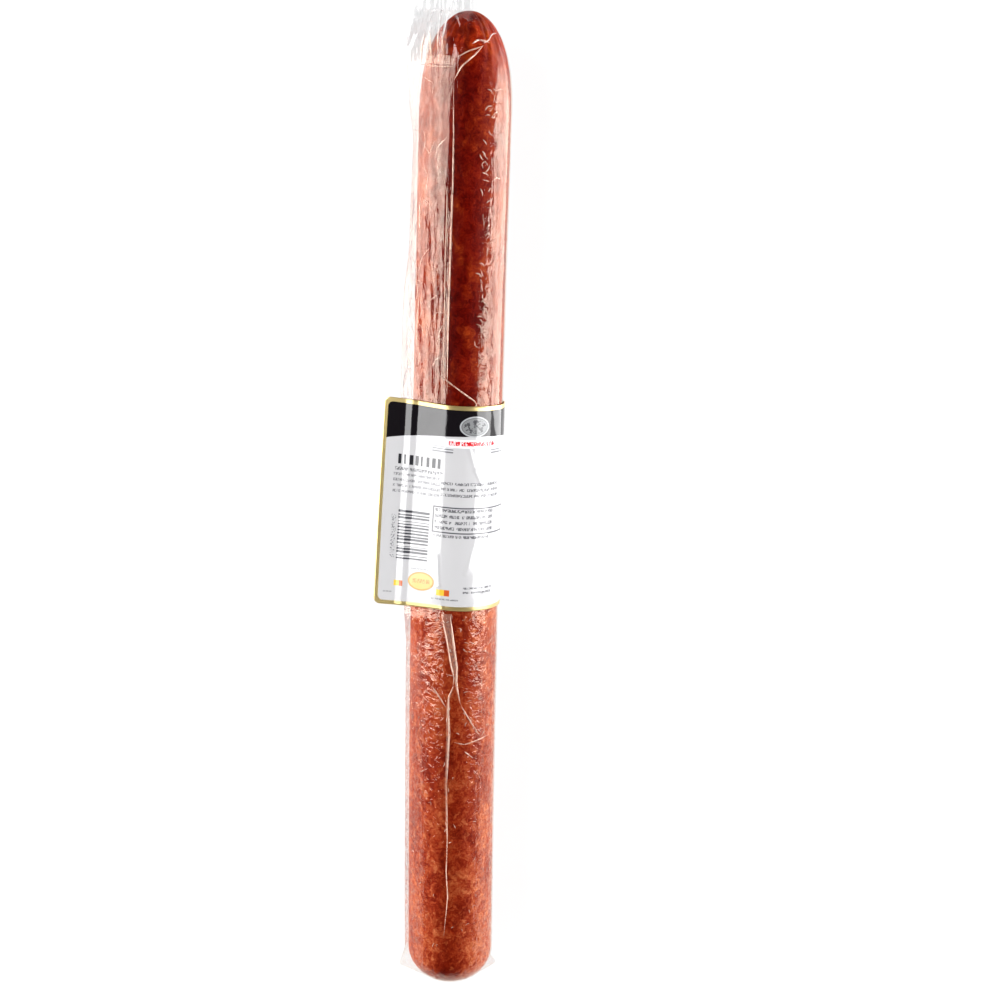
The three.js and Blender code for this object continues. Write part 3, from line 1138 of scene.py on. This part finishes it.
def print_ribbon(ink, colour):
    """The pale ribbon under the emblem, with two lined tails and a row of red specks."""
    tails = ink.box((31.5, 98.9), (44.5, 102.6)).most(ink.box((69.5, 98.9), (82.5, 102.6)))
    colour = tails.blend(colour, (0.20, 0.20, 0.21, 1))
    tail_lines = ink.within((ink.v - 98.9) * 0.8, 0.8, 1.4).most(ink.within(ink.v, 101.4, 102.2))
    colour = (tails * tail_lines * 0.8).blend(colour, (0.75, 0.75, 0.77, 1))
    ribbon = ink.box((39.2, 102.3), (74.8, 107.6))
    colour = ribbon.blend(colour, (0.80, 0.80, 0.82, 1))
    return ink.words((41.5, 103.2), (72.5, 106.9), 3.7, 0.74, 31.0).blend(colour, RED)


def print_title(ink, colour):
    """Solid blocks of random widths stand for the title's eight letters."""
    letter = (ink.u - 10.6) / 3.55
    which = letter.math("FLOOR", letter)
    width = ink.chance(which)
    block = (letter - which - 0.30 - width * 0.38).ramp(0.04, -0.04)
    title = block * ink.box((10.4, 88.4), (39.0, 94.4))
    return title.blend(colour, (0.03, 0.03, 0.035, 1))


# Rows of greeked words: low corner, high corner, pitch, height, seed and how dark they are.
TEXT_ROWS = [
    ((9.0, 83.7), (39.0, 87.0), 3.3, 0.66, 5.0, 1.0),
    ((8.2, 69.9), (37.8, 83.4), 3.45, 0.52, 11.0, 0.8),
    ((38.4, 70.5), (78.0, 81.4), 3.6, 0.52, 17.0, 0.9),
    ((35.8, 49.9), (74.0, 64.6), 3.7, 0.56, 23.0, 1.0),
    ((35.3, 45.0), (71.0, 48.3), 3.3, 0.56, 29.0, 1.0),
    ((56.0, 10.2), (76.5, 15.6), 2.7, 0.5, 37.0, 1.0),
    ((36.5, 5.4), (53.5, 7.6), 2.2, 0.5, 41.0, 0.8),
    ((22.5, 22.8), (35.5, 25.0), 2.2, 0.5, 43.0, 0.6),
    ((5.6, 7.0), (11.0, 9.0), 2.0, 0.5, 47.0, 0.6),
]


def print_text(ink, colour):
    """The rows of greeked words, and the frame round the panel of text."""
    rows = None
    for low, high, pitch, height, seed, dark in TEXT_ROWS:
        row = ink.words(low, high, pitch, height, seed) * dark
        rows = rows.most(row) if rows else row
    colour = (rows * 0.85).blend(colour, GREY)
    frame_line = ink.box((34.3, 48.8), (86.1, 65.4)) * (1 - ink.box((35.1, 49.6), (85.3, 64.6)))
    return frame_line.blend(colour, GREY)


def print_bars(ink, colour):
    """The bars, and a column of specks beside them in place of their digits."""
    start = ink.start
    colour = ink.bars((12.6, 29.5), (32.5, 60.4), 1.95).blend(colour, (0.05, 0.05, 0.06, 1))
    digits = start.noise(start.joined(ink.u * 1.1, ink.v * 0.85, 4.0), 1.0, 1.0)
    column = digits.ramp(0.50, 0.60) * ink.box((8.6, 30.0), (11.4, 57.0))
    return (column * 0.7).blend(colour, GREY)


def print_seal(ink, colour):
    """A gold oval with a darker edge, and two small patches of two colours beside it."""
    seal = (29.4, 16.5)
    colour = ink.oval(seal, (8.5, 6.0)).blend(colour, (0.46, 0.25, 0.035, 1))
    colour = ink.oval(seal, (7.4, 5.0)).blend(colour, (0.66, 0.45, 0.11, 1))
    seal_mark = ink.words((24.0, 14.6), (35.0, 18.6), 4.0, 0.72, 53.0)
    colour = (seal_mark * 0.8).blend(colour, (0.48, 0.18, 0.02, 1))
    patches = ink.box((12.0, 12.3), (17.6, 15.8)).most(ink.box((39.6, 9.0), (47.8, 12.9)))
    colour = patches.blend(colour, (0.80, 0.52, 0.07, 1))
    ends = ink.box((15.4, 12.3), (17.6, 15.8)).most(ink.box((44.6, 9.0), (47.8, 12.9)))
    return (ends * 0.9).blend(colour, (0.50, 0.07, 0.03, 1))


def label_print(start):
    """The label's colours: gold edge, dark head, and generic marks in place of its print."""
    ink = Print(start)
    far_corner = (LABEL_WIDTH - GOLD_EDGE, LABEL_HEIGHT - GOLD_EDGE)
    inner = ink.round_box((GOLD_EDGE, GOLD_EDGE), far_corner, INNER_CORNER)
    middle = LABEL_WIDTH / 2
    arch = (ink.u - middle) / middle
    head_edge = 109.6 - 6.6 * arch * arch
    head = (ink.v - head_edge).ramp(-INK_EDGE, INK_EDGE)
    colour = head.blend(WHITE, BLACK)
    for add_print in (print_emblem, print_ribbon, print_title, print_text, print_bars, print_seal):
        colour = add_print(ink, colour)
    return inner.blend(GOLD, colour), inner


def label_paper():
    """Glossy printed paper with a metallic gold edge."""
    material, start, output = new_material("label_paper")
    colour, inner = label_print(start)
    place = object_place(start)
    tooth = start.noise(place, 1500, 2)
    waves = start.noise(place, 90, 2)
    normal = start.relief(tooth * 0.15 + waves, 0.0003, 0.35)
    surface = start.node(
        "ShaderNodeBsdfPrincipled",
        None,
        {
            "Base Color": colour,
            "Roughness": waves.ramp(0.3, 0.7, 0.07, 0.12) * inner + (1 - inner) * 0.30,
            "Metallic": (1 - inner) * 0.75,
            "Normal": normal,
            "IOR": 1.75,
        },
    )
    return finish_material(material, output, surface)


def label():
    """The label, with a wall as thick as its paper."""
    piece = new_piece("wrap_label", label_mesh())
    piece.data.materials.append(label_paper())
    wall = piece.modifiers.new("wall", "SOLIDIFY")
    wall.thickness = LABEL_THICKNESS
    wall.offset = 1.0
    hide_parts("label")


# ---------------------------------------------------------------- floor, light and camera


FLOOR_HALF_WIDTH = 6.0
FLOOR_GLOW = 0.76


def floor():
    """A pale floor that glows a little, as a light table does, so that shadows stay faint."""
    bm = bmesh.new()
    bmesh.ops.create_grid(bm, x_segments=2, y_segments=2, size=FLOOR_HALF_WIDTH)
    mesh = bpy.data.meshes.new("floor")
    bm.to_mesh(mesh)
    bm.free()
    piece = bpy.data.objects.new("floor", mesh)
    bpy.context.collection.objects.link(piece)
    material, start, output = new_material("pale_floor")
    uneven = start.noise(object_place(start), 30, 2)
    surface = start.node(
        "ShaderNodeBsdfPrincipled",
        None,
        {
            "Base Color": uneven.colours([(0.3, (0.11, 0.11, 0.11)), (0.7, (0.12, 0.12, 0.12))]),
            "Roughness": 0.9,
            "Specular IOR Level": 0.0,
            "Emission Color": (1.0, 1.0, 1.0, 1),
            "Emission Strength": FLOOR_GLOW,
        },
    )
    piece.data.materials.append(finish_material(material, output, surface))


# Each soft light beside the stick: its name, the side it is on, its inner and outer angle off
# the vertical in degrees, its two ends along Y, its brightness, and whether it is mirrored.
SOFTBOXES = [
    ("left_softbox", -1, 28.5, 87, (-0.38, 1.0), 3.4, True),
    ("right_softbox_near", 1, 50, 88, (-0.38, 0.0), 3.2, True),
    ("right_softbox_far", 1, 79, 89, (0.0, 1.0), 3.4, True),
    ("left_fill", -1, 55, 88, (-1.3, -0.38), 2.8, False),
    ("right_fill", 1, 55, 88, (-1.3, 0.0), 3.2, False),
    ("right_fill_far", 1, 50, 74, (0.0, 1.0), 3.8, False),
]
# Each light that lies on the floor and shines up: its name, place, size and brightness.
GLOWS = [
    ("right_glow", (0.52, 0.43, 0.003), (0.9, 0.8), 2.4),
    ("left_glow", (-0.33, 0.32, 0.003), (0.5, 0.6), 1.1),
]


def softbox(name, side, inner, outer, reach, brightness):
    """A soft light beside the stick, 1 m off it."""
    middle = math.radians((inner + outer) / 2)
    width = 2 * math.tan(math.radians((outer - inner) / 2))
    away = Vector((side * math.sin(middle), 0, math.cos(middle)))
    place = Vector((AXIS_X, (reach[0] + reach[1]) / 2, AXIS_Z)) + away
    size = (width, reach[1] - reach[0])
    return panel(name, place, away, Vector((0, 1, 0)), size, brightness)


def panel(name, place, away, up, size, brightness):
    """A rectangular light that shines against the direction away."""
    light = bpy.data.lights.new(name, "AREA")
    light.shape = "RECTANGLE"
    light.size = size[0]
    light.size_y = size[1]
    light.energy = 4 * brightness * size[0] * size[1]
    piece = bpy.data.objects.new(name, light)
    bpy.context.collection.objects.link(piece)
    across = up.cross(away).normalized()
    turn = Matrix((across, away.cross(across), away)).transposed().to_4x4()
    piece.matrix_world = Matrix.Translation(place) @ turn
    piece.visible_camera = False
    return piece


def lights():
    """Soft light from both sides and from below, with none from overhead."""
    for *place, mirrored in SOFTBOXES:
        softbox(*place).visible_glossy = mirrored
    down = Vector((0, 0, -1))
    for name, place, size, brightness in GLOWS:
        panel(name, Vector(place), down, Vector((0, 1, 0)), size, brightness)


def surroundings():
    """A studio that is dark overhead and beyond the nose, and pale near the floor elsewhere."""
    world = bpy.data.worlds.new("studio")
    bpy.context.scene.world = world
    world.use_nodes = True
    tree = world.node_tree
    tree.nodes.clear()
    start = Shade(tree)
    _, along, up = start.node("ShaderNodeTexCoord", None, None, "Generated").split()
    tone = up.ramp(0.10, 0.32).most(along.ramp(0.25, 0.7))
    tone = tone.blend((0.85, 0.85, 0.86, 1), (0.004, 0.004, 0.004, 1))
    background = start.node("ShaderNodeBackground", None, {"Color": tone, "Strength": 1.0})
    output = tree.nodes.new("ShaderNodeOutputWorld")
    tree.links.new(background.socket, output.inputs["Surface"])


def camera():
    """Looks down on the stick from over its nose half, its nose end a little the nearer."""
    distance = 1.1
    tilt = math.radians(13.37)
    side = math.radians(0.45)
    roll = math.radians(1.43)
    aim = Vector((AXIS_X + 27.7 * MM, MID_Y + 16.2 * MM, AXIS_Z))
    back = Vector(
        (math.sin(side), math.sin(tilt) * math.cos(side), math.cos(tilt) * math.cos(side))
    )
    right = Vector((0, 1, 0)).cross(back).normalized()
    up = back.cross(right)
    across = right * math.cos(roll) + up * math.sin(roll)
    upward = up * math.cos(roll) - right * math.sin(roll)
    lens = bpy.data.cameras.new("camera")
    lens.lens = 63.5
    lens.sensor_width = 36
    lens.clip_start = 0.05
    lens.clip_end = 50
    piece = bpy.data.objects.new("camera", lens)
    bpy.context.collection.objects.link(piece)
    turn = Matrix((across, upward, back)).transposed().to_4x4()
    piece.matrix_world = Matrix.Translation(aim + back * distance) @ turn
    bpy.context.scene.camera = piece


def main():
    """Sets the studio up, then makes the stick, the bag with its creases, and the label."""
    camera()
    surroundings()
    lights()
    bpy.context.scene.view_settings.view_transform = "Standard"
    bpy.context.scene.view_settings.look = "Medium High Contrast"
    floor()
    sausage()
    surface = film_bag(clear_film())
    film_creases(surface, folded_film("film_fold", 0.5))
    film_pleats(surface, folded_film("doubled_film", 0.22))
    label()


main()
